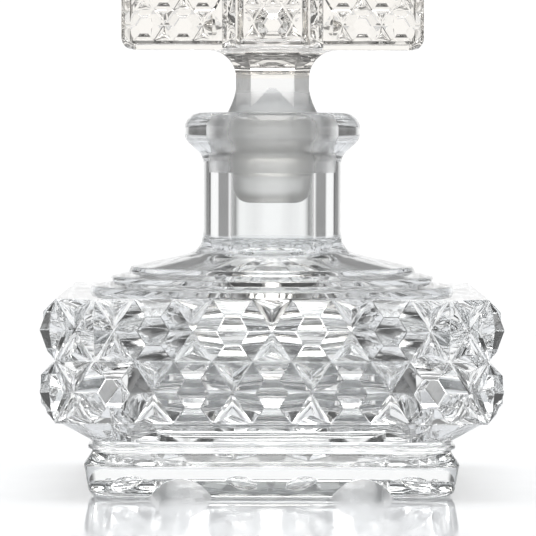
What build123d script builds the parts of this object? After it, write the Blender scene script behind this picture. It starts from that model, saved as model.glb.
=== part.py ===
"""Pressed-glass perfume bottle with a ground-glass stopper.

The bottle is one piece of glass: a square body banded with two rows of hexagonal buttons, a stepped
round shoulder, a round neck with a rolled lip, and a square foot with arches. The stopper is a second
piece: a ground conical plug, a waisted stem and a head in the shape of a Greek cross with the same
pattern at half size. The stopper lifts straight out of the neck.

Millimetres. +Z is up, -Y is the front, and the origin is the centre of the resting plane.
"""

import os

from build123d import *

# ---- body band: hexagons, triangles and diamonds between V-grooves ----
half_cell = 7.5  # half the width of one hexagon, point to point
row_height = 11.85
row_count = 2
half_cells_across = 11  # of each side; odd, so that a hexagon sits in the middle of the lowest row
button_height = 3.2  # from the bottom of the grooves to the flats
level_run = 3.1  # how far in a bevel goes as it rises from a level groove
slant_run = 3.6  # and from a slanted groove
groove_floor = 0.2  # width of the grooves' flat bottoms
corner_reach = 3.1  # how far the corner buttons stand out from each side
corner_lap = 1.8  # and how far their flats lap back over it
corner_flat_height = 7.0

# ---- foot, waist and belly, from the bottom up ----
toe_inset = 1.2  # the foot is this much narrower where it stands than at its ridge
toe_corner = 5.0
toe_round = 2.0
foot_ridge_z = 6.2
foot_flange = 1.6  # how far the ridge stands out from the waist
foot_corner = 6.5
foot_slope_height = 2.4  # from the ridge in to the waist
waist_inset = 6.55  # from the body's grooves in to the waist
waist_corner = 6.0
waist_height = 2.1
bead_flange = 0.8  # a fine bead around the waist
bead_rise = 0.6
bead_thickness = 0.9
belly_inset = 0.45  # from the body's grooves in to the belly's upper edge
belly_corner = 5.0
belly_height = 4.1
rim_width = 9.6  # of the foot's resting face
well_corner = 9.0
well_depth = 3.9  # hollow under the foot
arch_offset = 17.4  # arch centres, from the middle of a side
arch_half_width = 5.9
arch_height = 3.7
petal_length = 6.8  # almond-shaped flutes beside the arches
petal_width = 2.5
petal_depth = 0.8
petal_offset = 5.5
petal_z = 2.9
petal_tilt = 14.0
corner_petal_offset = 28.0

# ---- stepped round shoulder ----
deck_width = 4.85  # flat border between the body's grooves and the first ring
ring_width = 3.9
ring_count = 3
ring_rise = 1.1  # steep outer side of each ring
ring_slope = 0.8  # rise of its top, from there to the next ring
ring_draft = 0.35  # how far that outer side leans in

# ---- neck and lip ----
neck_height = 29.9  # from the shoulder's top to the lip's top
neck_wall = 5.5
neck_foot_flange = 4.7  # how far the neck's foot stands out from the neck
neck_foot_rise = 1.3
neck_flare = 3.6  # radius of the hollow curve between shoulder and neck
lip_overhang = 3.7
lip_edge = 5.3  # height of the lip's outer side
lip_slope = 3.4  # height of the slope under it
lip_round = 3.3
lip_under_round = 2.6
lip_hollow = 2.6  # radius of the hollow curve under the lip

# ---- hollow inside ----
bore_radius = 8.4  # below the ground seat
bore_mouth_round = 3.0  # where the bore opens into the hollow
side_wall = 9.75  # from the body's grooves in
floor_rise = 4.2  # the hollow's floor, above the band's bottom
roof_drop = 4.0  # its upright sides end this far below the band's top
cavity_corner = 14.0
cavity_round = 6.0  # of its upper and lower edges, in a hollow that is tall enough
cavity_round_share = 0.4  # and otherwise this share of the height of its upright sides
dome_inset = 1.6  # from the last ring in to the dome's foot
dome_roof = 4.2  # glass between the dome's top and the shoulder's

# ---- ground seat and plug ----
seat_length = 12.0
seat_taper = 1 / 20  # change of radius along the seat
seat_gap = 0.05
seat_mouth_chamfer = 0.4
plug_length = 18.0  # from the lip's top to the plug's end
plug_relief = 0.45  # the plug's end is this much slimmer than the seat
plug_shoulder = 0.7  # height of the slope between the two
plug_end_taper = 0.08
plug_end_round = 3.0  # on an end that is long enough
plug_end_round_share = 0.55  # and otherwise this share of the slim end's length

# ---- stopper's stem and head ----
stem_half = 7.25
stem_chamfer = 3.0
stem_height = 12.3  # from the lip's top to the underside of the arms
stem_hollow = 5.5  # radius of the hollow curves between the stem and the arms above it
collar_rise = 5.2  # height over which the stem widens again towards the lip
collar_hollow = 0.3
arm_half_width = 9.75
arm_end_chamfer = 2.6
arm_corner_round = 2.4
head_half_cell = 3.85
head_row_height = 6.1
head_row_count = 3
end_cells = 3  # half cells across an arm's end
side_cells = 5  # and along its sides
head_frame = 1.8  # plain border under and over the pattern
side_frame = 0.7  # plain border between the pattern and an arm's end
corner_frame = 0.25  # and between the pattern and the next arm
head_button_height = 1.3
head_level_run = 1.35
head_slant_run = 1.6
head_groove_floor = 0.12

# ---- places that follow from the sizes ----
body_half = half_cell * half_cells_across / 2
belly_half = body_half - belly_inset
waist_half = body_half - waist_inset
bead_half = waist_half + bead_flange
foot_half = waist_half + foot_flange
toe_half = foot_half - toe_inset
well_half = toe_half - rim_width
cavity_half = body_half - side_wall
ring_radii = [body_half - deck_width - ring_width * ring for ring in range(ring_count)]
dome_radius = ring_radii[-1] - dome_inset
neck_radius = bore_radius + neck_wall
neck_foot_radius = neck_radius + neck_foot_flange
lip_radius = neck_radius + lip_overhang
seat_mouth_radius = bore_radius + seat_length * seat_taper
arm_half_span = arm_half_width + corner_frame + side_cells * head_half_cell + side_frame

foot_top_z = foot_ridge_z + foot_slope_height
waist_top_z = foot_top_z + waist_height
bead_z = foot_top_z + bead_rise
band_bottom = waist_top_z + belly_height
band_top = band_bottom + row_height * row_count
shoulder_top_z = band_top + ring_count * (ring_rise + ring_slope)
neck_foot_z = shoulder_top_z + neck_foot_rise
cavity_floor_z = band_bottom + floor_rise
cavity_wall_top_z = band_top - roof_drop
cavity_edge_round = min(cavity_round, cavity_round_share * (cavity_wall_top_z - cavity_floor_z))
dome_top_z = shoulder_top_z - dome_roof
lip_top_z = shoulder_top_z + neck_height
lip_bottom_z = lip_top_z - lip_edge - lip_slope
seat_bottom_z = lip_top_z - seat_length
plug_slim_z = seat_bottom_z - plug_shoulder
plug_end_z = lip_top_z - plug_length
plug_tip_round = min(plug_end_round, plug_end_round_share * (plug_slim_z - plug_end_z))
head_bottom_z = lip_top_z + stem_height
head_height = head_row_count * head_row_height + 2 * head_frame
head_top_z = head_bottom_z + head_height
overlap = 1.0  # how far an added piece of glass reaches into what it stands on


class Pattern:
    """Rows of hexagons that touch at their points, each row shifted by half a hexagon.

    The buttons stand on the plane y = -face and point towards -Y. Above and below each point where
    two hexagons touch there is a triangle, and a diamond fills a row's half-empty ends.
    """

    def __init__(self, half_cell, row_height, height, level_run, slant_run, floor, face):
        self.half_cell = half_cell
        self.half_row = row_height / 2
        self.height = height
        self.level_run = level_run
        self.slant_run = slant_run
        self.inset = floor / 2
        self.face = face
        side = (half_cell**2 / 4 + self.half_row**2) ** 0.5
        self.sine = self.half_row / side  # of the angle between slanted and level grooves
        self.apex_sine = half_cell / 2 / side  # of half the angle at a hexagon's neighbour's point
        self.level_slope = height / level_run
        self.slant_slope = height / slant_run

    def button(self, outline, top):
        """A convex button from the (x, z) outline at the groove's bottom and (x, z, height) points."""
        foot = [(x, -self.face, z) for x, z in outline]
        root = [(x, overlap - self.face, z) for x, z in outline]
        crown = [(x, -self.face - out, z) for x, z, out in top]
        return ConvexPolyhedron(foot + root + crown, mode=Mode.PRIVATE)

    def ring(self, x, z, level, slant):
        half_high = self.half_row - level
        half_wide = self.half_cell - slant / self.sine
        shoulder = half_wide - half_high * self.half_cell / 2 / self.half_row
        right = [(half_wide, 0), (shoulder, half_high), (-shoulder, half_high)]
        return [(x + a, z + b) for a, b in right] + [(x - a, z - b) for a, b in right]

    def hexagon(self, x, z):
        outline = self.ring(x, z, self.inset, self.inset)
        crown = self.ring(x, z, self.inset + self.level_run, self.inset + self.slant_run)
        return self.button(outline, [(a, b, self.height) for a, b in crown])

    def triangle(self, x, z, turn):
        """One of the two triangles at the point (x, z); turn is 1 for the upper and -1 for the lower."""
        tip = self.inset / self.apex_sine
        high = self.half_row - self.inset - tip
        half_base = self.half_cell / 2 * high / self.half_row
        gain = self.apex_sine * self.slant_slope
        up = gain * high / (self.level_slope + gain)
        base_z = z + turn * (tip + high)
        outline = [(x, z + turn * tip), (x - half_base, base_z), (x + half_base, base_z)]
        return self.button(outline, [(x, base_z - turn * up, up * self.level_slope)])

    def diamond(self, x, z):
        wide = self.half_cell / 2 - self.inset / self.sine
        high = wide * self.half_row * 2 / self.half_cell
        outline = [(x + wide, z), (x - wide, z), (x, z + high), (x, z - high)]
        return self.button(outline, [(x, z, wide * self.sine * self.slant_slope)])

    def row(self, z, hexagons, points, diamonds):
        """One row of buttons, given the places of its hexagons, points and diamonds along the row."""
        buttons = [self.hexagon(x, z) for x in hexagons] + [self.diamond(x, z) for x in diamonds]
        for x in points:
            buttons += [self.triangle(x, z, 1), self.triangle(x, z, -1)]
        return buttons


def corner_button(z):
    """Wraps an upright edge of the body, with a tall narrow flat that faces outwards at 45 degrees."""
    inset = body_pattern.inset / body_pattern.sine
    width = half_cell / 2 - inset
    high = body_pattern.half_row * width / (half_cell / 2)
    edge = body_half
    near = edge - width
    ends = [(edge, -edge, z + high), (edge, -edge, z - high)]
    ends += [(near, -edge, z), (edge, -near, z), (near, -near, z)]
    # Where the flat's level ends meet the bevels that rise from the slanted grooves.
    up = corner_flat_height / 2
    rise = width - corner_lap + corner_reach
    back = up * width * corner_reach / (high * rise)
    for lap, reach, level in ((corner_lap, corner_reach, 0), (corner_lap - back, corner_reach - back, up)):
        for turn in (1, -1):
            ends.append((edge - lap, -edge - reach, z + turn * level))
            ends.append((edge + reach, -edge + lap, z + turn * level))
    return ConvexPolyhedron(ends, mode=Mode.PRIVATE)


def tapered_block(low_z, low_half, low_corner, high_z, high_half, high_corner):
    """A rounded square block whose straight sides lean from one outline to the other."""
    with BuildSketch(Plane.XY.offset(low_z)) as low:
        RectangleRounded(2 * low_half, 2 * low_half, low_corner)
    with BuildSketch(Plane.XY.offset(high_z)) as high:
        RectangleRounded(2 * high_half, 2 * high_half, high_corner)
    return loft([low.sketch, high.sketch], ruled=True, mode=Mode.PRIVATE)


body_pattern = Pattern(half_cell, row_height, button_height, level_run, slant_run, groove_floor, body_half)
row_middles = [band_bottom + row_height * (row + 0.5) for row in range(row_count)]
band_buttons = []
for row, middle in enumerate(row_middles):
    # Hexagons sit at even half cells from the middle in the lowest row, and at odd ones in the next.
    reach = half_cells_across // 2
    whole = [n for n in range(1 - reach, reach) if (n + row) % 2 == 0]
    points = [n for n in range(-reach, reach + 1) if n not in whole]
    ends = [] if reach - 1 in whole else [reach - 0.5, 0.5 - reach]
    band_buttons += body_pattern.row(
        middle,
        [half_cell * n for n in whole],
        [half_cell * n for n in points],
        [half_cell * n for n in ends],
    )
    band_buttons.append(corner_button(middle))

with BuildPart() as bottle:
    # Square core of the body, out to the bottom of the grooves.
    with BuildSketch(Plane.XY.offset(band_bottom)):
        Rectangle(2 * body_half, 2 * body_half)
    extrude(amount=band_top - band_bottom)
    with PolarLocations(0, 4):
        add(band_buttons)

    # Belly under the band, waist with its bead, and foot.
    add(tapered_block(waist_top_z, waist_half, waist_corner, band_bottom, belly_half, belly_corner))
    with BuildSketch(Plane.XY.offset(foot_ridge_z)):
        RectangleRounded(2 * waist_half, 2 * waist_half, waist_corner)
    extrude(amount=waist_top_z - foot_ridge_z)
    with BuildSketch(Plane.XY.offset(bead_z)):
        RectangleRounded(2 * bead_half, 2 * bead_half, waist_corner)
    bead = extrude(amount=bead_thickness, mode=Mode.PRIVATE)
    add(bead.fillet(bead_thickness * 0.45, bead.edges().filter_by(Plane.XY)))
    add(tapered_block(foot_ridge_z, foot_half, foot_corner, foot_top_z, waist_half, waist_corner))
    toe = tapered_block(0, toe_half, toe_corner, foot_ridge_z, foot_half, foot_corner)
    add(toe.fillet(toe_round, toe.edges().group_by(Axis.Z)[0]))

    # Stepped shoulder, neck and lip, turned about the upright axis.
    with BuildSketch(Plane.XZ) as turned:
        with BuildLine():
            outline = [(0, band_top - overlap), (ring_radii[0], band_top - overlap)]
            for step, radius in enumerate(ring_radii):
                foot_z = band_top + step * (ring_rise + ring_slope)
                outline += [(radius, foot_z), (radius - ring_draft, foot_z + ring_rise)]
            outline += [(neck_foot_radius, neck_foot_z), (neck_radius, neck_foot_z + neck_foot_rise)]
            outline += [(neck_radius, lip_bottom_z), (lip_radius, lip_bottom_z + lip_slope)]
            outline += [(lip_radius, lip_top_z), (0, lip_top_z)]
            Polyline(outline, close=True)
        make_face()
        corners = turned.vertices()
        fillet(corners.sort_by_distance((neck_radius, neck_foot_z + neck_foot_rise))[0], neck_flare)
        corners = turned.vertices()
        fillet(corners.sort_by_distance((neck_radius, lip_bottom_z))[0], lip_hollow)
        corners = turned.vertices()
        fillet(corners.sort_by_distance((lip_radius, lip_bottom_z + lip_slope))[0], lip_under_round)
        corners = turned.vertices()
        fillet(corners.sort_by_distance((lip_radius, lip_top_z))[0], lip_round)
    revolve(axis=Axis.Z)

    # Hollow inside, with a dome that leads up to the bore and the ground seat.
    with BuildSketch(Plane.XY.offset(cavity_floor_z)):
        RectangleRounded(2 * cavity_half, 2 * cavity_half, cavity_corner)
    cavity = extrude(amount=cavity_wall_top_z - cavity_floor_z, mode=Mode.PRIVATE)
    add(cavity.fillet(cavity_edge_round, cavity.edges().filter_by(Plane.XY)), mode=Mode.SUBTRACT)
    with BuildSketch(Plane.XZ) as hollow:
        with BuildLine():
            low_z = cavity_wall_top_z - overlap
            seat = [(bore_radius, seat_bottom_z), (seat_mouth_radius, lip_top_z)]
            profile = [(0, low_z), (dome_radius, low_z), (dome_radius, cavity_wall_top_z)]
            profile += [(bore_radius, dome_top_z), *seat, (seat_mouth_radius, lip_top_z + overlap)]
            Polyline(*profile, (0, lip_top_z + overlap), close=True)
        make_face()
        mouth = hollow.vertices().sort_by_distance((bore_radius, dome_top_z))[0]
        fillet(mouth, bore_mouth_round)
    revolve(axis=Axis.Z, mode=Mode.SUBTRACT)
    rim = bottle.edges().filter_by(GeomType.CIRCLE).group_by(Axis.Z)[-1].sort_by(SortBy.RADIUS)[0]
    chamfer(rim, seat_mouth_chamfer)

    # Hollow under the foot, arches through its rim, and almond flutes on the feet between them.
    add(
        tapered_block(0, well_half, well_corner, well_depth, well_half - well_depth / 2, well_corner),
        mode=Mode.SUBTRACT,
    )
    arch_radius = (arch_half_width**2 + arch_height**2) / (2 * arch_height)
    with BuildSketch(Plane.XZ.offset(foot_half + overlap)):
        with Locations((arch_offset, arch_height - arch_radius), (-arch_offset, arch_height - arch_radius)):
            Circle(arch_radius)
    arches = extrude(amount=-(foot_half + 2 * overlap - well_half + well_depth / 2), mode=Mode.PRIVATE)
    almond_radius = (petal_length**2 + petal_width**2) / (4 * petal_width)
    almond_sweep = almond_radius - petal_width / 2
    almonds = []
    for side in (1, -1):
        for place, tilt in ((petal_offset, petal_tilt), (corner_petal_offset, -petal_tilt)):
            with BuildSketch(Plane.XZ.offset(toe_half + petal_depth)) as almond:
                with Locations(Location((side * place, petal_z, 0), side * tilt)):
                    with Locations((0, almond_sweep)):
                        Circle(almond_radius)
                    with Locations((0, -almond_sweep)):
                        Circle(almond_radius, mode=Mode.INTERSECT)
            almonds.append(extrude(almond.sketch, amount=-2 * petal_depth, mode=Mode.PRIVATE))
    with PolarLocations(0, 4):
        add([arches, *almonds], mode=Mode.SUBTRACT)
bottle.part.label = "bottle"


side_face = arm_half_width - head_button_height
end_face = arm_half_span - head_button_height
side_outer = arm_half_span - side_frame
side_inner = side_outer - side_cells * head_half_cell
end_edge = end_cells * head_half_cell / 2
pattern_bottom_z = head_bottom_z + head_frame
pattern_top_z = head_top_z - head_frame
head_relief = (head_button_height, head_level_run, head_slant_run, head_groove_floor)
side_pattern = Pattern(head_half_cell, head_row_height, *head_relief, side_face)
end_pattern = Pattern(head_half_cell, head_row_height, *head_relief, end_face)


def sunk_panel(left, right, wide_left, wide_right, face):
    """Cutter for a recess as deep as the buttons in it are high.

    Its walls slope over twice that depth, to wide_left and wide_right at the ends.
    """
    lip = head_button_height
    deep = [(x, -face, z) for x in (left, right) for z in (pattern_bottom_z, pattern_top_z)]
    wide = [
        (x, -face - 2 * lip, z)
        for x in (wide_left, wide_right)
        for z in (pattern_bottom_z - lip, pattern_top_z + lip)
    ]
    return ConvexPolyhedron(deep + wide, mode=Mode.PRIVATE)


head_buttons = []
for row in range(head_row_count):
    middle = pattern_bottom_z + head_row_height * (row + 0.5)
    shift = row % 2
    outer_to_inner = [side_outer - head_half_cell * n for n in range(side_cells + 1)]
    hexagons = outer_to_inner[1 + shift : side_cells : 2]
    points = outer_to_inner[2 - shift : side_cells : 2]
    diamond = side_outer - head_half_cell * (0.5 if shift else side_cells - 0.5)
    for side in (1, -1):
        head_buttons += side_pattern.row(
            middle, [side * x for x in hexagons], [side * x for x in points], [side * diamond]
        )
    if shift:
        head_buttons += end_pattern.row(
            middle, [], [0, head_half_cell, -head_half_cell], [head_half_cell / 2, -head_half_cell / 2]
        )
    else:
        head_buttons += end_pattern.row(middle, [0], [head_half_cell, -head_half_cell], [])

# The stem's outline is the same from the front and from the side, and a little wider at 45 degrees.
diagonal_half = (2 * stem_half - stem_chamfer) / 2**0.5
with BuildPart() as stem:
    for turn, half in ((0, stem_half), (90, stem_half), (45, diagonal_half), (-45, diagonal_half)):
        reach = half + stem_hollow + 0.1
        with BuildSketch(Plane.XZ.rotated((0, 0, turn))) as side_view:
            with BuildLine():
                right = [(half, lip_top_z), (half, head_bottom_z), (reach, head_bottom_z)]
                right += [(reach, head_bottom_z + overlap)]
                left = [(-x, z) for x, z in reversed(right)]
                Polyline(right + left, close=True)
            make_face()
            armpits = side_view.vertices().filter_by(lambda v: abs(abs(v.X) - half) < 0.01)
            fillet(armpits.filter_by(lambda v: abs(v.Y - head_bottom_z) < 0.01), stem_hollow)
        join = Mode.INTERSECT if turn else Mode.ADD
        extrude(amount=2 * stem_half + 2 * stem_hollow, both=True, mode=join)

with BuildPart() as stopper:
    # Greek cross, with sunk panels on the arms' sides and ends and the pattern standing in them.
    with BuildSketch(Plane.XY.offset(head_bottom_z)) as cross:
        Rectangle(2 * arm_half_span, 2 * arm_half_width)
        Rectangle(2 * arm_half_width, 2 * arm_half_span)
        outer = cross.vertices().filter_by(lambda v: max(abs(v.X), abs(v.Y)) > arm_half_span - overlap)
        chamfer(outer, arm_end_chamfer)
    extrude(amount=head_height)
    level_edges = stopper.edges().filter_by(Plane.XY)
    end_edges = level_edges.filter_by(
        lambda e: max(abs(e.center().X), abs(e.center().Y)) > arm_half_span - 0.01
    )
    fillet(end_edges, arm_corner_round)
    wall = head_button_height
    panels = [
        sunk_panel(side_inner, side_outer - wall, side_inner, side_outer, side_face),
        sunk_panel(wall - side_outer, -side_inner, -side_outer, -side_inner, side_face),
        sunk_panel(-end_edge, end_edge, -end_edge - wall, end_edge + wall, end_face),
    ]
    with PolarLocations(0, 4):
        add(panels, mode=Mode.SUBTRACT)
    with PolarLocations(0, 4):
        add(head_buttons)
    add(stem.part)

    # Collar over the lip, and the ground plug with its slimmer rounded end.
    with BuildSketch(Plane.XZ) as plug:
        with BuildLine():
            mouth_radius = seat_mouth_radius - seat_gap
            seated_radius = bore_radius - seat_gap
            slim_radius = seated_radius - plug_relief
            end_radius = slim_radius - plug_end_taper * (plug_slim_z - plug_end_z)
            ground = [(slim_radius, plug_slim_z), (seated_radius, seat_bottom_z), (mouth_radius, lip_top_z)]
            waist = ThreePointArc(
                (mouth_radius, lip_top_z),
                ((mouth_radius + stem_half) / 2 - collar_hollow, lip_top_z + collar_rise * 0.4),
                (stem_half, lip_top_z + collar_rise),
            )
            Polyline((stem_half, lip_top_z + collar_rise), (0, lip_top_z + collar_rise), (0, plug_end_z))
            Polyline((0, plug_end_z), (end_radius, plug_end_z), *ground)
        make_face()
        fillet(plug.vertices().sort_by_distance((end_radius, plug_end_z))[0], plug_tip_round)
    revolve(axis=Axis.Z)
stopper.part.label = "stopper"

os.makedirs("parts", exist_ok=True)
export_step(bottle.part, "parts/bottle.step")
export_step(stopper.part, "parts/stopper.step")
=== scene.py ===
"""Looks for a pressed-glass perfume bottle with a ground stopper, laid out as an add-on.

The bottle stands on the origin with +Z up and its front towards -Y. Lengths are in metres.
"""

from math import atan2, ceil, cos, pi, radians, sin, sqrt, tan

import bmesh
import bpy
from bpy.props import FloatProperty, FloatVectorProperty, IntProperty, PointerProperty
from mathutils import Matrix, Vector


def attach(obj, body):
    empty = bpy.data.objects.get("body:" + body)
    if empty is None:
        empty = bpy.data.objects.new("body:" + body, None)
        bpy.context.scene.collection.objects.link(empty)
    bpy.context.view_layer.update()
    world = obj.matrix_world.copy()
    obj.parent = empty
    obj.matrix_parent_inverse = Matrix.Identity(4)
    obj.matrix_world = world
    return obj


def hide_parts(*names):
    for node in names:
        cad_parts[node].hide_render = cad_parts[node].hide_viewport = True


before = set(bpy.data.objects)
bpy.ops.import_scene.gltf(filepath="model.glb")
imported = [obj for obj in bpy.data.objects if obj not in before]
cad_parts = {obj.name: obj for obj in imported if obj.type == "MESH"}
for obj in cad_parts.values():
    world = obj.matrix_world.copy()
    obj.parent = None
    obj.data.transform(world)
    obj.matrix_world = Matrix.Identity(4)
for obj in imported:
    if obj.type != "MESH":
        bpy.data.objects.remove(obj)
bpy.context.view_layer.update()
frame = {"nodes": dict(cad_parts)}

bl_info = {
    "name": "Perfume Bottle",
    "version": (1, 0, 0),
    "blender": (4, 5, 0),
    "location": "View3D > Sidebar > Perfume Bottle",
    "description": "Builds a pressed-glass perfume bottle, its ground stopper and a plain studio",
    "category": "Object",
}

MM = 0.001
EMBED = 1.0 * MM  # how far an added piece of glass reaches into what it stands on
QUARTERS = 4

# Greys of the studio from below the horizon to the zenith, as (elevation in degrees, grey): through a white
# panel, and through the wall between two panels.
PANEL_TONES = ((-90, 0.85), (12.7, 0.82), (15.7, 0.24), (30, 0.2), (36.9, 0.06), (57.1, 0.06), (64.2, 0.8))
WALL_TONES = ((-5.7, 0.34), (0, 0.1), (13.9, 0.08), (15.7, 0.05), (57.1, 0.05), (64.2, 0.8))
PANEL_REACH = 19.9  # degrees to either side that a panel keeps its full tone
PANEL_FADE = 28.4  # degrees to either side at which it has faded into the wall


def length(name, description, millimetres):
    """A length property, given in millimetres and kept in metres."""
    return FloatProperty(
        name=name, description=description, default=millimetres * MM, min=0.0, unit="LENGTH", precision=5
    )


def tint(name, description, colour):
    """A colour property, given as sRGB hex and kept linear."""
    return FloatVectorProperty(
        name=name, description=description, default=linear(colour), subtype="COLOR", min=0.0, max=1.0
    )


def linear(colour):
    """Turns an sRGB hex colour into the linear values that shaders and lamps use."""
    shares = [int(colour[place : place + 2], 16) / 255 for place in (1, 3, 5)]
    return tuple(c / 12.92 if c <= 0.04045 else ((c + 0.055) / 1.055) ** 2.4 for c in shares)


class PERFUME_PG_band(bpy.types.PropertyGroup):
    """The band of hexagonal buttons around the body."""

    half_cell: length("Half cell", "Half the width of one hexagon, point to point", 7.5)
    row_height: length("Row height", "Height of one row of buttons", 11.85)
    rows: IntProperty(name="Rows", description="Rows of buttons", default=2, min=1)
    across: IntProperty(
        name="Half cells", description="Half cells across each side, an odd number", default=11
    )
    bottom: length("Bottom", "Height of the band's lower edge", 14.8)
    button: length("Button height", "From the bottom of the grooves to the flats", 3.2)
    level_run: length("Level bevel", "How far in a bevel goes from a level groove", 3.1)
    slant_run: length("Slanted bevel", "How far in a bevel goes from a slanted groove", 3.6)
    groove: length("Groove floor", "Width of the grooves' flat bottoms", 0.2)
    corner_reach: length("Corner reach", "How far the corner buttons stand out from each side", 3.1)
    corner_lap: length("Corner lap", "How far their flats lap back over the side", 1.8)
    corner_flat: length("Corner flat", "Height of their flats", 7.0)


class PERFUME_PG_body(bpy.types.PropertyGroup):
    """Foot, waist, shoulder and neck."""

    toe_half: length("Toe", "Half the width of the foot where it stands", 35.1)
    foot_half: length("Foot", "Half the width of the foot at its ridge", 36.3)
    foot_ridge: length("Foot ridge", "Height of that ridge", 6.2)
    waist_half: length("Waist", "Half the width of the waist", 34.7)
    waist_bottom: length("Waist bottom", "Height where the waist begins", 8.6)
    waist_top: length("Waist top", "Height where the belly begins", 10.7)
    belly_half: length("Belly", "Half the width of the belly under the band", 40.8)
    well_half: length("Well", "Half the width of the hollow under the foot", 25.5)
    well_depth: length("Well depth", "Depth of that hollow", 3.9)
    arch_half: length("Arch", "Half the width of an arch in the foot", 5.9)
    arch_height: length("Arch height", "Height of an arch", 3.7)
    arch_offset: length("Arch offset", "From the middle of a side to an arch's middle", 17.4)
    ring_radius: length("First ring", "Radius of the shoulder's lowest ring", 36.4)
    ring_width: length("Ring width", "Width of one step of the shoulder", 3.9)
    ring_rise: length("Ring rise", "Height of a ring's steep outer side", 1.1)
    ring_slope: length("Ring slope", "Rise of its top towards the next ring", 0.8)
    neck_radius: length("Neck", "Outer radius of the neck", 13.9)
    lip_radius: length("Lip", "Radius of the rolled lip", 17.6)
    lip_top: length("Lip top", "Height of the lip's top", 74.1)
    bore: length("Bore", "Radius of the bore below the ground seat", 8.4)
    seat: length("Seat", "Length of the ground seat", 12.0)
    wall: length("Wall", "Thickness of the body's walls behind the grooves", 9.75)


class PERFUME_PG_stopper(bpy.types.PropertyGroup):
    """Plug, stem and cross-shaped head."""

    stem_half: length("Stem", "Half the width of the square stem", 7.25)
    stem_chamfer: length("Stem chamfer", "Width of the chamfers on its edges", 3.0)
    hollow: length("Hollow", "Radius of the hollow curves under the arms", 5.5)
    plug: length("Plug", "From the lip's top to the plug's end", 18.0)
    gap: length("Gap", "Clearance between the ground faces", 0.05)
    head_bottom: length("Head", "Height of the arms' underside", 86.4)
    arm_half: length("Arm", "Half the width of an arm", 9.75)
    half_cell: length("Half cell", "Half the width of one hexagon on the head", 3.85)
    row_height: length("Row height", "Height of one row on the head", 6.1)
    rows: IntProperty(name="Rows", description="Rows of buttons on the head", default=3, min=1)
    button: length("Button height", "From the bottom of the grooves to the flats", 1.3)
    frame: length("Border", "Plain border under and over the pattern", 1.8)


class PERFUME_PG_glass(bpy.types.PropertyGroup):
    """Colours and edges of the glass."""

    bottle: tint("Bottle", "Tint of the bottle's glass", "#F6F7F7")
    stopper: tint("Stopper", "Tint of the stopper's glass", "#F4F1EC")
    ground: tint("Ground", "Tint of the ground faces", "#F1F1F0")
    edge: length("Edge", "Width of the fire-polished edges", 0.16)


class PERFUME_PG_studio(bpy.types.PropertyGroup):
    """Floor, lamps and camera."""

    floor: tint("Floor", "Colour of the floor", "#EDEFF2")
    distance: length("Distance", "From the camera to the bottle's axis", 800.0)
    height: length("Height", "Height of the camera", 71.6)
    aim: length("Aim", "Height the camera points at", 43.0)


# ---- shapes ----


def around(steps):
    """Even directions around the axis."""
    return [2 * pi * step / steps for step in range(steps)]


def around_square(half, middle, flat_steps=6, corner_steps=9):
    """Directions around the axis that follow a rounded square closely; its corner arcs centre on middle."""
    quarter = [atan2(middle * step / flat_steps, half) for step in range(1 - flat_steps, flat_steps)]
    for step in range(corner_steps + 1):
        bend = pi / 2 * step / corner_steps
        corner = half - middle
        quarter.append(atan2(middle + corner * sin(bend), middle + corner * cos(bend)))
    return [turn + pi / 2 * side for side in range(QUARTERS) for turn in quarter]


def edge_distance(half, middle, turn):
    """From the axis to the edge of a rounded square, in the direction turn."""
    small, large = sorted((abs(cos(turn)), abs(sin(turn))))
    if half / large * small <= middle:
        return half / large
    lean = middle * (small + large)
    return lean + sqrt(max(lean**2 - 2 * middle**2 + (half - middle) ** 2, 0))


def softened(corners, step=radians(8)):
    """Profile through corners (half, z, middle, radius), each rounded to its radius."""
    points = []
    for index, (half, z, middle, radius) in enumerate(corners):
        if not radius:
            points.append((half, z, middle))
            continue
        here = Vector((half, z))
        back, ahead = (Vector(corners[index + way][:2]) - here for way in (-1, 1))
        bend = pi - back.angle(ahead)
        cut = radius * tan(bend / 2)
        first = middle + (corners[index - 1][2] - middle) * cut / back.length
        last = middle + (corners[index + 1][2] - middle) * cut / ahead.length
        back, ahead = back.normalized(), ahead.normalized()
        centre = here + (back + ahead).normalized() * radius / cos(bend / 2)
        start, end = here + back * cut - centre, here + ahead * cut - centre
        steps = max(2, ceil(bend / step))
        for place in range(steps + 1):
            share = place / steps
            spoke = (start * sin((1 - share) * bend) + end * sin(share * bend)) / sin(bend)
            points.append((centre.x + spoke.x, centre.y + spoke.y, first + (last - first) * share))
    return points


def shell(stations, turns):
    """Closed mesh through rounded squares (half, z, middle) along the axis; a half of 0 is a point."""
    mesh = bmesh.new()
    rings = []
    for half, z, middle in stations:
        spokes = [edge_distance(half, middle, turn) for turn in turns] if half else []
        rings.append([mesh.verts.new((r * cos(t), r * sin(t), z)) for r, t in zip(spokes, turns)])
        if not half:
            rings[-1] = [mesh.verts.new((0, 0, z))]
    for low, high in zip(rings, rings[1:]):
        for place in range(len(turns)):
            ahead = (place + 1) % len(turns)
            corners = [ring[at] for ring, at in ((low, place), (low, ahead)) if len(ring) > 1] or [low[0]]
            corners += [ring[at] for ring, at in ((high, ahead), (high, place)) if len(ring) > 1] or [high[0]]
            mesh.faces.new(corners)
    return mesh


def turned(corners, steps=192):
    """Closed mesh turned about the axis from corners (radius, z, rounding)."""
    profile = softened([(radius, z, 0, rounding) for radius, z, rounding in corners])
    return shell(profile, around(steps))


def hull(mesh, points):
    """Adds the convex shape around the points."""
    corners = [mesh.verts.new(point) for point in points]
    made = bmesh.ops.convex_hull(mesh, input=corners)
    spare = {v for v in made["geom_interior"] + made["geom_unused"] if isinstance(v, bmesh.types.BMVert)}
    bmesh.ops.delete(mesh, geom=list(spare), context="VERTS")


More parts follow.
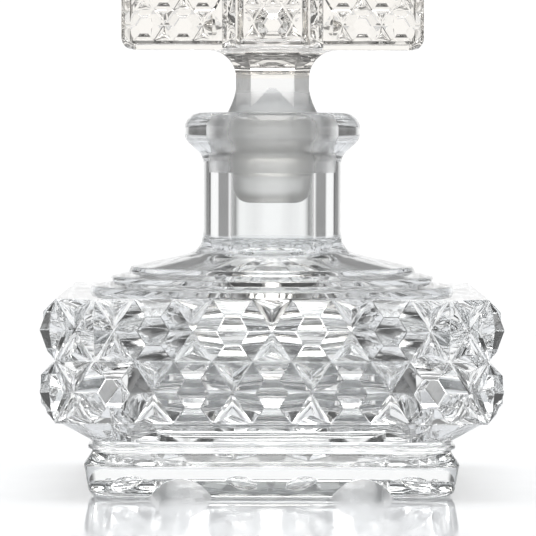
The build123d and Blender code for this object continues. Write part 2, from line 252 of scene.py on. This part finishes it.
def quarter_turn(point, quarter):
    """The point, turned about the axis by a number of quarter turns."""
    x, y, z = point
    for _ in range(quarter):
        x, y = -y, x
    return (x, y, z)


def tidied(mesh):
    """Turns a closed mesh's faces outwards and joins the ones that lie in one plane."""
    bmesh.ops.dissolve_limit(mesh, angle_limit=radians(0.1), verts=mesh.verts, edges=mesh.edges)
    bmesh.ops.recalc_face_normals(mesh, faces=mesh.faces)
    return mesh


def fire_polish(mesh, width, wanted=None):
    """Rounds the sharp outer edges a little, all of them or those for which wanted(middle) holds."""
    tidied(mesh)
    edges = []
    for edge in mesh.edges:
        middle = (edge.verts[0].co + edge.verts[1].co) / 2
        if edge.calc_face_angle_signed() > radians(18) and (wanted is None or wanted(middle)):
            edges.append(edge)
    bmesh.ops.bevel(
        mesh, geom=edges, offset=width, offset_type="OFFSET", segments=2, profile=0.5, affect="EDGES"
    )
    return mesh


def quarter_turned(mesh, quarter):
    """Turns a mesh about the axis by a number of quarter turns."""
    bmesh.ops.rotate(mesh, matrix=Matrix.Rotation(quarter * pi / 2, 3, "Z"), verts=mesh.verts)
    return mesh


def as_object(mesh, name):
    """Puts a closed mesh into the scene as an object."""
    tidied(mesh)
    data = bpy.data.meshes.new(name)
    mesh.to_mesh(data)
    mesh.free()
    made = bpy.data.objects.new(name, data)
    bpy.context.scene.collection.objects.link(made)
    return made


def apply_modifier(piece, modifier):
    """Makes a modifier's result the piece's own mesh."""
    with bpy.context.temp_override(object=piece, active_object=piece, selected_objects=[piece]):
        bpy.ops.object.modifier_apply(modifier=modifier.name)


def combine(piece, operation, mesh):
    """Joins a closed mesh to the piece or cuts it away."""
    tool = as_object(mesh, "tool")
    joint = piece.modifiers.new("joint", "BOOLEAN")
    joint.operation = operation
    joint.solver = "MANIFOLD"
    joint.object = tool
    apply_modifier(piece, joint)
    data = tool.data
    bpy.data.objects.remove(tool)
    bpy.data.meshes.remove(data)


class Pattern:
    """Rows of hexagons that touch at their points, each row shifted by half a hexagon.

    The buttons stand on the plane y = -face and point towards -Y. Above and below each point where
    two hexagons touch there is a triangle, and a diamond fills a row's half-empty ends.
    """

    def __init__(self, half_cell, row_height, height, level_run, slant_run, floor, face):
        self.half_cell = half_cell
        self.half_row = row_height / 2
        self.height = height
        self.level_run = level_run
        self.slant_run = slant_run
        self.inset = floor / 2
        self.face = face
        side = sqrt(half_cell**2 / 4 + self.half_row**2)
        self.sine = self.half_row / side
        self.apex_sine = half_cell / 2 / side
        self.level_slope = height / level_run
        self.slant_slope = height / slant_run

    def button(self, outline, crown):
        """Corners of a button from its (x, z) outline and the (x, z, height) corners of its top."""
        foot = [(x, -self.face, z) for x, z in outline]
        root = [(x, EMBED - self.face, z) for x, z in outline]
        return foot + root + [(x, -self.face - height, z) for x, z, height in crown]

    def ring(self, x, z, level, slant):
        """Outline of a hexagon, drawn in by level and slant from its grooves."""
        half_high = self.half_row - level
        half_wide = self.half_cell - slant / self.sine
        shoulder = half_wide - half_high * self.half_cell / 2 / self.half_row
        right = [(half_wide, 0), (shoulder, half_high), (-shoulder, half_high)]
        return [(x + a, z + b) for a, b in right] + [(x - a, z - b) for a, b in right]

    def hexagon(self, x, z):
        outline = self.ring(x, z, self.inset, self.inset)
        crown = self.ring(x, z, self.inset + self.level_run, self.inset + self.slant_run)
        return self.button(outline, [(a, b, self.height) for a, b in crown])

    def triangle(self, x, z, turn):
        tip = self.inset / self.apex_sine
        high = self.half_row - self.inset - tip
        half_base = self.half_cell / 2 * high / self.half_row
        gain = self.apex_sine * self.slant_slope
        rise = gain * high / (self.level_slope + gain)
        base = z + turn * (tip + high)
        outline = [(x, z + turn * tip), (x - half_base, base), (x + half_base, base)]
        return self.button(outline, [(x, base - turn * rise, rise * self.level_slope)])

    def diamond(self, x, z):
        wide = self.half_cell / 2 - self.inset / self.sine
        high = wide * self.half_row * 2 / self.half_cell
        outline = [(x + wide, z), (x - wide, z), (x, z + high), (x, z - high)]
        return self.button(outline, [(x, z, wide * self.sine * self.slant_slope)])

    def row(self, z, hexagons, points, diamonds):
        """Corner lists for one row, given its hexagons, points and diamonds along the row."""
        buttons = [self.hexagon(x, z) for x in hexagons] + [self.diamond(x, z) for x in diamonds]
        return buttons + [self.triangle(x, z, turn) for x in points for turn in (1, -1)]


def corner_button(band, pattern, z):
    """Corners of the button that wraps an upright edge of the body, with its flat at 45 degrees."""
    edge = pattern.face
    width = band.half_cell / 2 - pattern.inset / pattern.sine
    high = pattern.half_row * width / (band.half_cell / 2)
    near = edge - width
    corners = [(edge, -edge, z + high), (edge, -edge, z - high)]
    corners += [(near, -edge, z), (edge, -near, z), (near, -near, z)]
    lap, reach, up = band.corner_lap, band.corner_reach, band.corner_flat / 2
    back = up * width * reach / (high * (width - lap + reach))
    for lap, reach, level in ((lap, reach, 0), (lap - back, reach - back, up)):
        for turn in (1, -1):
            corners.append((edge - lap, -edge - reach, z + turn * level))
            corners.append((edge + reach, -edge + lap, z + turn * level))
    return corners


def band_side(band, edge, quarter):
    """Buttons of one side of the body and of the corner to its right."""
    half = band.half_cell * band.across / 2
    floor = band.groove
    pattern = Pattern(
        band.half_cell, band.row_height, band.button, band.level_run, band.slant_run, floor, half
    )
    mesh = bmesh.new()
    reach = band.across // 2
    for row in range(band.rows):
        z = band.bottom + band.row_height * (row + 0.5)
        whole = [n for n in range(1 - reach, reach) if (n + row) % 2 == 0]
        points = [n for n in range(-reach, reach + 1) if n not in whole]
        ends = [] if reach - 1 in whole else [reach - 0.5, 0.5 - reach]
        places = [[band.half_cell * n for n in kind] for kind in (whole, points, ends)]
        for corners in [*pattern.row(z, *places), corner_button(band, pattern, z)]:
            hull(mesh, corners)
    fire_polish(mesh, edge, lambda middle: min(abs(middle.y + half), abs(middle.x - half)) > 0.01 * MM)
    return quarter_turned(mesh, quarter)


def block(half, low, high):
    """An upright square block."""
    mesh = bmesh.new()
    hull(mesh, [(x, y, z) for x in (-half, half) for y in (-half, half) for z in (low, high)])
    return mesh


def underside(body, band):
    """Belly, waist with its bead, and foot."""
    top = band.bottom + EMBED
    bead = body.waist_half + 0.8 * MM
    # Where the upright corners' arcs have their centres, on both axes.
    belly_middle = body.belly_half - 5.0 * MM
    waist_middle = body.waist_half - 6.0 * MM
    foot_middle = body.foot_half - 6.5 * MM
    toe_middle = body.toe_half - 5.0 * MM
    # With a rounder toe, polish_object leaves faces that cover the arches, in a mesh that stays closed.
    toe_round = 1.8 * MM
    corners = [
        (0, top, 0, 0),
        (body.belly_half, top, belly_middle, 0),
        (body.belly_half, band.bottom, belly_middle, 0.8 * MM),
        (body.waist_half, body.waist_top, waist_middle, 0.6 * MM),
        (body.waist_half, body.waist_bottom + 1.5 * MM, waist_middle, 0.12 * MM),
        (bead, body.waist_bottom + 1.4 * MM, waist_middle, 0.35 * MM),
        (bead, body.waist_bottom + 0.6 * MM, waist_middle, 0.35 * MM),
        (body.waist_half, body.waist_bottom + 0.5 * MM, waist_middle, 0.12 * MM),
        (body.waist_half, body.waist_bottom, waist_middle, 0.2 * MM),
        (body.foot_half, body.foot_ridge, foot_middle, 0.7 * MM),
        (body.toe_half, 0, toe_middle, toe_round),
        (0, 0, 0, 0),
    ]
    turns = around_square(body.waist_half, waist_middle)
    return shell(softened(corners), turns)


def upper(body, band):
    """Stepped shoulder, neck and rolled lip."""
    top = band.bottom + band.rows * band.row_height
    corners = [(0, top - EMBED, 0), (body.ring_radius, top - EMBED, 0)]
    step = body.ring_rise + body.ring_slope
    radii = [body.ring_radius - body.ring_width * ring for ring in range(3)]
    for ring, radius in enumerate(radii):
        z = top + step * ring
        corners.append((radius, z, 0.25 * MM if ring else 0))
        corners.append((radius - 0.35 * MM, z + body.ring_rise, 0.45 * MM))
    foot_rise = 1.3 * MM
    foot = top + step * len(radii) + foot_rise
    lip_edge, lip_slope = 5.3 * MM, 3.4 * MM
    under = body.lip_top - lip_edge - lip_slope
    corners += [
        (body.neck_radius + 4.7 * MM, foot, 2.0 * MM),
        (body.neck_radius, foot + foot_rise, 3.6 * MM),
        (body.neck_radius, under, 2.6 * MM),
        (body.lip_radius, under + lip_slope, 2.6 * MM),
        (body.lip_radius, body.lip_top, 3.3 * MM),
        (0, body.lip_top, 0),
    ]
    return turned(corners)


def inner_bore(body, band):
    """Dome over the hollow, the bore and the ground seat, as a cutter."""
    wall_top = band.bottom + band.rows * band.row_height - 4.0 * MM
    dome_radius, dome_top = 27.0 * MM, wall_top + 5.5 * MM
    mouth = body.bore + body.seat / 20
    flare = 0.4 * MM
    return turned(
        [
            (0, wall_top - EMBED, 0),
            (dome_radius, wall_top - EMBED, 0),
            (dome_radius, wall_top, 0),
            (body.bore, dome_top, 3.0 * MM),
            (body.bore, body.lip_top - body.seat, 0),
            (mouth - flare / 20, body.lip_top - flare, 0.2 * MM),
            (mouth + flare, body.lip_top, 0),
            (mouth + flare, body.lip_top + EMBED, 0),
            (0, body.lip_top + EMBED, 0),
        ]
    )


def cavity(body, band):
    """The square part of the hollow, as a cutter."""
    half = band.half_cell * band.across / 2 - body.wall
    middle = half - 14.0 * MM
    low = band.bottom + 4.2 * MM
    high = band.bottom + band.rows * band.row_height - 4.0 * MM
    bend = 6.0 * MM
    corners = [(0, low, 0, 0), (half, low, middle, bend), (half, high, middle, bend), (0, high, 0, 0)]
    return shell(softened(corners, radians(7)), around_square(half, middle, 8, 16))


def well(body):
    """Hollow under the foot, as a cutter."""
    middle = body.well_half - 9.0 * MM
    roof = body.well_half - body.well_depth / 2
    corners = [
        (0, -EMBED, 0, 0),
        (body.well_half, -EMBED, middle, 0),
        (body.well_half, 0, middle, 0),
        (roof, body.well_depth, middle, 1.0 * MM),
        (0, body.well_depth, 0, 0),
    ]
    return shell(softened(corners), around_square(body.well_half, middle))


def lying(mesh, turn, tilt, place):
    """Lays an upright shape along the front side, tilts it there, moves it and turns it to a side."""
    move = Matrix.Rotation(turn, 4, "Z") @ Matrix.Translation(place) @ Matrix.Rotation(tilt, 4, "Y")
    bmesh.ops.transform(mesh, matrix=move, verts=mesh.verts)
    return mesh


def arch(body, quarter, side):
    """One arch through the foot's rim, as a cutter."""
    radius = (body.arch_half**2 + body.arch_height**2) / (2 * body.arch_height)
    outer = body.foot_half + EMBED
    inner = body.well_half - body.well_depth / 2 - EMBED
    mesh = shell([(0, inner, 0), (radius, inner, 0), (radius, outer, 0), (0, outer, 0)], around(96))
    bmesh.ops.transform(mesh, matrix=Matrix.Rotation(pi / 2, 4, "X"), verts=mesh.verts)
    place = (side * body.arch_offset, 0, body.arch_height - radius)
    return lying(mesh, quarter * pi / 2, 0, place)


def almond(body, quarter, x, tilt):
    """One almond-shaped flute in the foot, as a cutter."""
    half, deep = 3.4 * MM, 1.25 * MM
    radius = (half**2 + deep**2) / (2 * deep)
    profile = [(0, -half, 0)]
    for step in range(1, 16):
        z = half * (step / 8 - 1)
        profile.append((sqrt(radius**2 - z**2) - radius + deep, z, 0))
    mesh = shell([*profile, (0, half, 0)], around(32))
    bmesh.ops.transform(mesh, matrix=Matrix.Rotation(pi / 2, 4, "Y"), verts=mesh.verts)
    bmesh.ops.scale(mesh, vec=(1, 0.8, 1), verts=mesh.verts)
    return lying(mesh, quarter * pi / 2, tilt, (x, -body.toe_half - 0.75 * MM, 2.9 * MM))


def polish_object(piece, width):
    """Rounds the sharp outer edges of an object's own mesh."""
    mesh = bmesh.new()
    mesh.from_mesh(piece.data)
    bmesh.ops.remove_doubles(mesh, verts=mesh.verts, dist=0.004 * MM)
    fire_polish(mesh, width)
    mesh.to_mesh(piece.data)
    mesh.free()


def shade(piece):
    """Shades flats flat and curves smoothly."""
    piece.data.shade_smooth()
    piece.data.set_sharp_from_angle(angle=radians(33))
    shading = piece.modifiers.new("flat flats", "WEIGHTED_NORMAL")
    shading.keep_sharp = True
    shading.weight = 100


# ---- glass ----


def add_node(tree, kind, inputs=None, **settings):
    """Adds a node with its settings; inputs maps sockets to values or to other nodes' outputs."""
    made = tree.nodes.new("ShaderNode" + kind)
    for key, value in settings.items():
        setattr(made, key, value)
    for key, value in (inputs or {}).items():
        if isinstance(value, bpy.types.NodeSocket):
            tree.links.new(value, made.inputs[key])
        else:
            made.inputs[key].default_value = value
    return made


def new_material(name):
    """An empty node material and its output node."""
    material = bpy.data.materials.new(name)
    material.use_nodes = True
    material.node_tree.nodes.clear()
    return material, material.node_tree


def pressed_glass(name, colour):
    """Clear soda-lime glass, pressed in a mould and fire polished.

    Its skin keeps a faint waviness about 9 mm long from the chilled mould, and a finer orange peel
    about 1.5 mm across. Both bend what shows through it a little and break up its highlights.
    """
    material, tree = new_material(name)
    place = add_node(tree, "TexCoord").outputs["Object"]
    waves = add_node(tree, "TexNoise", {"Vector": place, "Scale": 1 / (9 * MM), "Detail": 1.0})
    peel = add_node(tree, "TexNoise", {"Vector": place, "Scale": 1 / (1.5 * MM), "Detail": 2.0})
    low = add_node(tree, "Bump", {"Height": waves.outputs["Fac"], "Strength": 1.0, "Distance": 0.02 * MM})
    skin = add_node(
        tree,
        "Bump",
        {"Height": peel.outputs["Fac"], "Strength": 1.0, "Distance": 0.0008 * MM, "Normal": low.outputs[0]},
    )
    # Handling leaves a thin, patchy haze on the polish.
    haze = add_node(tree, "TexNoise", {"Vector": place, "Scale": 1 / (14 * MM), "Detail": 3.0})
    rough = add_node(
        tree,
        "MapRange",
        {"Value": haze.outputs["Fac"], "From Min": 0.4, "From Max": 0.75, "To Min": 0.0, "To Max": 0.03},
    )
    glass = add_node(
        tree,
        "BsdfPrincipled",
        {
            "Base Color": (*colour, 1),
            "Roughness": rough.outputs[0],
            "IOR": 1.5,
            "Transmission Weight": 1.0,
            "Normal": skin.outputs[0],
        },
    )
    add_node(tree, "OutputMaterial", {"Surface": glass.outputs[0]})
    return material


def ground_glass(name, colour, fade_from, fade_to):
    """Glass ground to fit with wet grit: a fine grey frost that scatters what shows through it.

    The grit is about 0.05 mm; its grain is drawn 0.3 mm wide here, so that it shows. The frost runs
    out between two heights, where the wheel left the glass.
    """
    material, tree = new_material(name)
    place = add_node(tree, "TexCoord").outputs["Object"]
    # Grinding turns about the axis, so its marks are drawn out around the cone.
    rings = add_node(tree, "Mapping", {"Vector": place, "Scale": (0.4, 0.4, 1.6)})
    grit = add_node(tree, "TexNoise", {"Vector": place, "Scale": 1 / (0.3 * MM), "Detail": 2.0})
    marks = add_node(tree, "TexNoise", {"Vector": rings.outputs[0], "Scale": 1 / (0.8 * MM), "Detail": 1.0})
    grain = add_node(tree, "Bump", {"Height": grit.outputs["Fac"], "Strength": 0.6, "Distance": 0.02 * MM})
    skin = add_node(
        tree,
        "Bump",
        {"Height": marks.outputs["Fac"], "Strength": 0.5, "Distance": 0.02 * MM, "Normal": grain.outputs[0]},
    )
    frost = add_node(tree, "MapRange", {"Value": marks.outputs["Fac"], "To Min": 0.34, "To Max": 0.52})
    height = add_node(tree, "SeparateXYZ", {"Vector": place}).outputs["Z"]
    rough = add_node(
        tree,
        "MapRange",
        {
            "Value": height,
            "From Min": fade_from,
            "From Max": fade_to,
            "To Min": frost.outputs[0],
            "To Max": 0.05,
        },
    )
    glass = add_node(
        tree,
        "BsdfPrincipled",
        {
            "Base Color": (*colour, 1),
            "Roughness": rough.outputs[0],
            "IOR": 1.5,
            "Transmission Weight": 1.0,
            "Normal": skin.outputs[0],
        },
    )
    add_node(tree, "OutputMaterial", {"Surface": glass.outputs[0]})
    return material


def give_glass(piece, polished, ground, low, high, radius=1.0):
    """Polished glass all over, and ground glass between the heights low and high within the radius."""
    piece.data.materials.clear()
    piece.data.materials.append(polished)
    piece.data.materials.append(ground)
    for face in piece.data.polygons:
        near = face.center.xy.length < radius
        face.material_index = int(near and low < face.center.z < high)


# ---- operators ----


class PERFUME_OT_bottle(bpy.types.Operator):
    """Build the bottle: foot, body with its band of buttons, shoulder, neck and lip"""

    bl_idname = "perfume.bottle"
    bl_label = "Bottle"

    def execute(self, context):
        scene = context.scene
        band, body, glass = scene.perfume_band, scene.perfume_body, scene.perfume_glass
        half = band.half_cell * band.across / 2
        piece = as_object(underside(body, band), "glass_bottle")
        combine(piece, "DIFFERENCE", well(body))
        for quarter in range(QUARTERS):
            for side in (-1, 1):
                combine(piece, "DIFFERENCE", arch(body, quarter, side))
                for x, tilt in ((5.5 * MM, radians(14)), (28.0 * MM, radians(-14))):
                    combine(piece, "DIFFERENCE", almond(body, quarter, side * x, side * -tilt))
        polish_object(piece, glass.edge)
        combine(piece, "UNION", block(half, band.bottom, band.bottom + band.rows * band.row_height))
        combine(piece, "UNION", upper(body, band))
        for quarter in range(QUARTERS):
            combine(piece, "UNION", band_side(band, glass.edge, quarter))
        combine(piece, "DIFFERENCE", cavity(body, band))
        combine(piece, "DIFFERENCE", inner_bore(body, band))
        shade(piece)
        polished = pressed_glass("pressed soda-lime glass", glass.bottle)
        ground = ground_glass("ground glass of the seat", glass.ground, body.lip_top, body.lip_top + 1 * MM)
        seat_top = body.lip_top - 0.3 * MM
        give_glass(piece, polished, ground, body.lip_top - body.seat, seat_top, body.bore + 0.8 * MM)
        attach(piece, "bottle")
        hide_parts("bottle")
        return {"FINISHED"}


class PERFUME_OT_stopper(bpy.types.Operator):
    """Build the stopper: ground plug, waisted stem and the cross-shaped head with its buttons"""

    bl_idname = "perfume.stopper"
    bl_label = "Stopper"

    def execute(self, context):
        scene = context.scene
        body, sizes, glass = scene.perfume_body, scene.perfume_stopper, scene.perfume_glass
        side_cells, end_cells = 5, 3
        inner = sizes.arm_half + 0.25 * MM
        outer = inner + side_cells * sizes.half_cell
        span = outer + 0.7 * MM
        low = sizes.head_bottom
        high = low + sizes.rows * sizes.row_height + 2 * sizes.frame
        piece = as_object(self.arms(span, sizes.arm_half, low, high, 0), "glass_stopper")
        combine(piece, "UNION", self.arms(span, sizes.arm_half, low, high, 1))
        side_face, end_face = sizes.arm_half - sizes.button, span - sizes.button
        end_half = end_cells * sizes.half_cell / 2
        deep = sizes.button
        limits = [
            (inner, outer - deep, inner, outer, side_face),
            (deep - outer, -inner, -outer, -inner, side_face),
            (-end_half, end_half, -end_half - deep, end_half + deep, end_face),
        ]
        for quarter in range(QUARTERS):
            for limit in limits:
                combine(piece, "DIFFERENCE", self.panel(sizes, limit, low, high, quarter))
        edge = glass.edge * 0.6
        polish_object(piece, edge)
        for quarter in range(QUARTERS):
            buttons = self.buttons(sizes, outer, side_cells, side_face, end_face, low)
            outlines = (side_face, end_face)
            fire_polish(buttons, edge, lambda middle: min(abs(middle.y + y) for y in outlines) > 0.01 * MM)
            combine(piece, "UNION", quarter_turned(buttons, quarter))
        combine(piece, "UNION", fire_polish(self.stem(sizes, body), edge))
        combine(piece, "UNION", self.plug(sizes, body))
        shade(piece)
        polished = pressed_glass("pressed soda-lime glass of the stopper", glass.stopper)
        collar = body.lip_top + 5.2 * MM
        ground = ground_glass("ground glass of the plug", glass.ground, body.lip_top + 3 * MM, collar)
        give_glass(piece, polished, ground, 0, collar)
        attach(piece, "stopper")
        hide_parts("stopper")
        return {"FINISHED"}

    def arms(self, span, half, low, high, quarter):
        """Two opposite arms, their ends chamfered at the sides and rounded above and below."""
        mesh = bmesh.new()
        side, edge, steps = 2.6 * MM, 2.4 * MM, 6
        corners = []
        for x in (-1, 1):
            for y in (-1, 1):
                for z, up in ((low, 1), (high, -1)):
                    corners.append((x * (span - side), y * half, z))
                    for step in range(steps + 1):
                        bend = pi / 2 * step / steps
                        out, rise = edge * (1 - sin(bend)), edge * (1 - cos(bend))
                        corners.append((x * (span - out), y * (half - side), z + up * rise))
        hull(mesh, [quarter_turn(corner, quarter) for corner in corners])
        return mesh

    def panel(self, sizes, limit, low, high, quarter):
        """Cutter for a recess with sloping walls, as deep as the buttons in it are high."""
        left, right, wide_left, wide_right, face = limit
        bottom, top, deep = low + sizes.frame, high - sizes.frame, sizes.button
        corners = [(x, -face, z) for x in (left, right) for z in (bottom, top)]
        for x in (wide_left, wide_right):
            corners += [(x, -face - 2 * deep, z) for z in (bottom - deep, top + deep)]
        mesh = bmesh.new()
        hull(mesh, [quarter_turn(corner, quarter) for corner in corners])
        return mesh

    def buttons(self, sizes, outer, cells, side_face, end_face, low):
        """Every button on the arms' sides and ends."""
        relief = (sizes.button, 1.35 * MM, 1.6 * MM, 0.12 * MM)
        on_side = Pattern(sizes.half_cell, sizes.row_height, *relief, side_face)
        on_end = Pattern(sizes.half_cell, sizes.row_height, *relief, end_face)
        steps = [outer - sizes.half_cell * n for n in range(cells + 1)]
        cell = sizes.half_cell
        found = []
        for row in range(sizes.rows):
            z = low + sizes.frame + sizes.row_height * (row + 0.5)
            shift = row % 2
            last = outer - cell * (0.5 if shift else cells - 0.5)
            for side in (1, -1):
                whole = [side * x for x in steps[1 + shift : cells : 2]]
                points = [side * x for x in steps[2 - shift : cells : 2]]
                found += on_side.row(z, whole, points, [side * last])
            if shift:
                found += on_end.row(z, [], [0, cell, -cell], [cell / 2, -cell / 2])
            else:
                found += on_end.row(z, [0], [cell, -cell], [])
        mesh = bmesh.new()
        for corners in found:
            hull(mesh, corners)
        return mesh

    def stem(self, sizes, body):
        """Waisted stem: a chamfered square that flares in hollow curves to the arms."""
        bend_steps = 16
        diagonal = (2 * sizes.stem_half - sizes.stem_chamfer) / sqrt(2)
        heights = [(0, body.lip_top - 2 * MM), (0, sizes.head_bottom - sizes.hollow)]
        for step in range(1, bend_steps + 1):
            bend = pi / 2 * step / bend_steps
            out = sizes.hollow * (1 - cos(bend))
            heights.append((out, sizes.head_bottom - sizes.hollow + sizes.hollow * sin(bend)))
        heights.append((sizes.hollow, sizes.head_bottom + EMBED))
        mesh = bmesh.new()
        rings = []
        for out, z in heights:
            half, slant = sizes.stem_half + out, diagonal + out
            near = slant * sqrt(2) - half
            outline = [(half, near), (near, half), (-near, half), (-half, near)]
            outline += [(-x, -y) for x, y in outline]
            rings.append([mesh.verts.new((x, y, z)) for x, y in outline])
        for lower, above in zip(rings, rings[1:]):
            for place in range(8):
                ahead = (place + 1) % 8
                mesh.faces.new([lower[place], lower[ahead], above[ahead], above[place]])
        mesh.faces.new(reversed(rings[0]))
        mesh.faces.new(rings[-1])
        return mesh

    def plug(self, sizes, body):
        """Collar over the lip, ground cone and the slimmer rounded end."""
        mouth = body.bore + body.seat / 20 - sizes.gap
        seated = body.bore - sizes.gap
        slim, slim_z = seated - 0.45 * MM, body.lip_top - body.seat - 0.7 * MM
        end_z = body.lip_top - sizes.plug
        end = slim - 0.08 * (slim_z - end_z)
        rise = 5.2 * MM
        # Hollow curve of the collar, through a point a little inside the straight line.
        collar = []
        for step in range(1, 12):
            share = step / 12
            sag = 4 * 0.3 * MM * share * (1 - share)
            radius = mouth + (sizes.stem_half - mouth) * share - sag
            collar.append((radius, body.lip_top + rise * share, 0))
        return turned(
            [
                (0, end_z, 0),
                (end, end_z, 3.0 * MM),
                (slim, slim_z, 0.5 * MM),
                (seated, body.lip_top - body.seat, 0.3 * MM),
                (mouth, body.lip_top, 0),
                *collar,
                (sizes.stem_half, body.lip_top + rise, 0),
                (0, body.lip_top + rise, 0),
            ],
            128,
        )


class PERFUME_OT_studio(bpy.types.Operator):
    """Set up the pale floor, the soft light and the camera"""

    bl_idname = "perfume.studio"
    bl_label = "Studio"

    def execute(self, context):
        studio = context.scene.perfume_studio
        self.floor(studio)
        self.surroundings(context.scene)
        self.lamps()
        self.camera(context.scene, studio)
        return {"FINISHED"}

    def floor(self, studio):
        """A wide pale sheet of lacquered board that mirrors the foot faintly."""
        mesh = bmesh.new()
        bmesh.ops.create_circle(mesh, cap_ends=True, segments=96, radius=0.6)
        sheet = as_object(mesh, "floor")
        # The foot touches the board only at a few high spots, so a film of air stays under it.
        sheet.location.z = -0.05 * MM
        material, tree = new_material("white lacquered board")
        place = add_node(tree, "TexCoord").outputs["Object"]
        brushing = add_node(tree, "TexNoise", {"Vector": place, "Scale": 60.0, "Detail": 3.0})
        rough = add_node(tree, "MapRange", {"Value": brushing.outputs["Fac"], "To Min": 0.05, "To Max": 0.1})
        board = add_node(
            tree,
            "BsdfPrincipled",
            {"Base Color": (*studio.floor, 1), "Roughness": rough.outputs[0], "IOR": 1.5},
        )
        add_node(tree, "OutputMaterial", {"Surface": board.outputs[0]})
        sheet.data.materials.append(material)

    def surroundings(self, scene):
        """White panels on all four sides and one overhead, with grey walls between them."""
        world = bpy.data.worlds.new("studio walls")
        world.use_nodes = True
        scene.world = world
        tree = world.node_tree
        tree.nodes.clear()
        direction = add_node(tree, "TexCoord").outputs["Generated"]
        flat = add_node(tree, "VectorMath", {0: direction, 1: (1, 1, 0)}, operation="MULTIPLY").outputs[0]
        ahead = add_node(tree, "VectorMath", {0: flat}, operation="NORMALIZE").outputs[0]
        sides = add_node(tree, "VectorMath", {0: ahead}, operation="ABSOLUTE").outputs[0]
        along = add_node(tree, "SeparateXYZ", {"Vector": sides})
        facing = add_node(
            tree, "Math", {0: along.outputs["X"], 1: along.outputs["Y"]}, operation="MAXIMUM"
        ).outputs[0]
        height = add_node(tree, "SeparateXYZ", {"Vector": direction}).outputs["Z"]
        panel = self.tone(tree, height, PANEL_TONES)
        wall = self.tone(tree, height, WALL_TONES)
        edges = {"From Min": cos(radians(PANEL_FADE)), "From Max": cos(radians(PANEL_REACH))}
        across = add_node(tree, "MapRange", {"Value": facing, **edges})
        light = add_node(
            tree, "Mix", {0: across.outputs[0], 6: wall, 7: panel}, data_type="RGBA"
        ).outputs[2]
        sky = add_node(tree, "Background", {"Color": light, "Strength": 1.3})
        add_node(tree, "OutputWorld", {"Surface": sky.outputs[0]})

    def tone(self, tree, height, stops):
        """Grey that changes with height, given as (elevation in degrees, grey)."""
        share = add_node(tree, "MapRange", {"Value": height, "From Min": -1.0, "From Max": 1.0})
        ramp = add_node(tree, "ValToRGB", {"Fac": share.outputs[0]})
        elements = ramp.color_ramp.elements
        while len(elements) < len(stops):
            elements.new(0.5)
        for element, (elevation, grey) in zip(elements, stops):
            element.position = (sin(radians(elevation)) + 1) / 2
            element.color = (grey, grey, grey, 1)
        return ramp.outputs[0]

    def lamps(self):
        """One large softbox overhead."""
        lamp = bpy.data.lights.new("softbox", "AREA")
        lamp.shape = "DISK"
        lamp.size = 1.2
        lamp.energy = 18.0
        box = bpy.data.objects.new("softbox", lamp)
        box.location = (0, 0, 1.4)
        bpy.context.scene.collection.objects.link(box)

    def camera(self, scene, studio):
        """A long lens, almost level."""
        data = bpy.data.cameras.new("camera")
        data.lens = 268.7
        data.clip_start = 0.05
        view = bpy.data.objects.new("camera", data)
        place = Vector((-0.0008, -studio.distance, studio.height))
        aim = Vector((-0.0008, 0, studio.aim))
        view.location = place
        roll = Matrix.Rotation(radians(0.15), 4, "Z")
        view.rotation_euler = ((aim - place).to_track_quat("-Z", "Y").to_matrix().to_4x4() @ roll).to_euler()
        scene.collection.objects.link(view)
        scene.camera = view
        scene.view_settings.view_transform = "Standard"
        # Light crosses many faces of clear glass before it leaves.
        scene.cycles.max_bounces = 32
        scene.cycles.glossy_bounces = 32
        scene.cycles.transmission_bounces = 32


class PERFUME_PT_panel(bpy.types.Panel):
    """Lists the sizes and the operators"""

    bl_idname = "PERFUME_PT_panel"
    bl_label = "Perfume Bottle"
    bl_space_type = "VIEW_3D"
    bl_region_type = "UI"
    bl_category = "Perfume Bottle"

    def draw(self, context):
        for operator in OPERATORS:
            self.layout.operator(operator.bl_idname)
        for name in GROUPS:
            box = self.layout.box()
            box.label(text=name.capitalize())
            group = getattr(context.scene, "perfume_" + name)
            for key in group.__annotations__:
                box.prop(group, key)


GROUPS = {
    "band": PERFUME_PG_band,
    "body": PERFUME_PG_body,
    "stopper": PERFUME_PG_stopper,
    "glass": PERFUME_PG_glass,
    "studio": PERFUME_PG_studio,
}
OPERATORS = (PERFUME_OT_bottle, PERFUME_OT_stopper, PERFUME_OT_studio)


def register():
    for kind in (*GROUPS.values(), *OPERATORS, PERFUME_PT_panel):
        bpy.utils.register_class(kind)
    for name, group in GROUPS.items():
        setattr(bpy.types.Scene, "perfume_" + name, PointerProperty(type=group))


def unregister():
    for name in GROUPS:
        delattr(bpy.types.Scene, "perfume_" + name)
    for kind in (PERFUME_PT_panel, *OPERATORS, *GROUPS.values()):
        bpy.utils.unregister_class(kind)


def main():
    register()
    bpy.ops.perfume.bottle()
    bpy.ops.perfume.stopper()
    bpy.ops.perfume.studio()


if __name__ == "__main__":
    main()
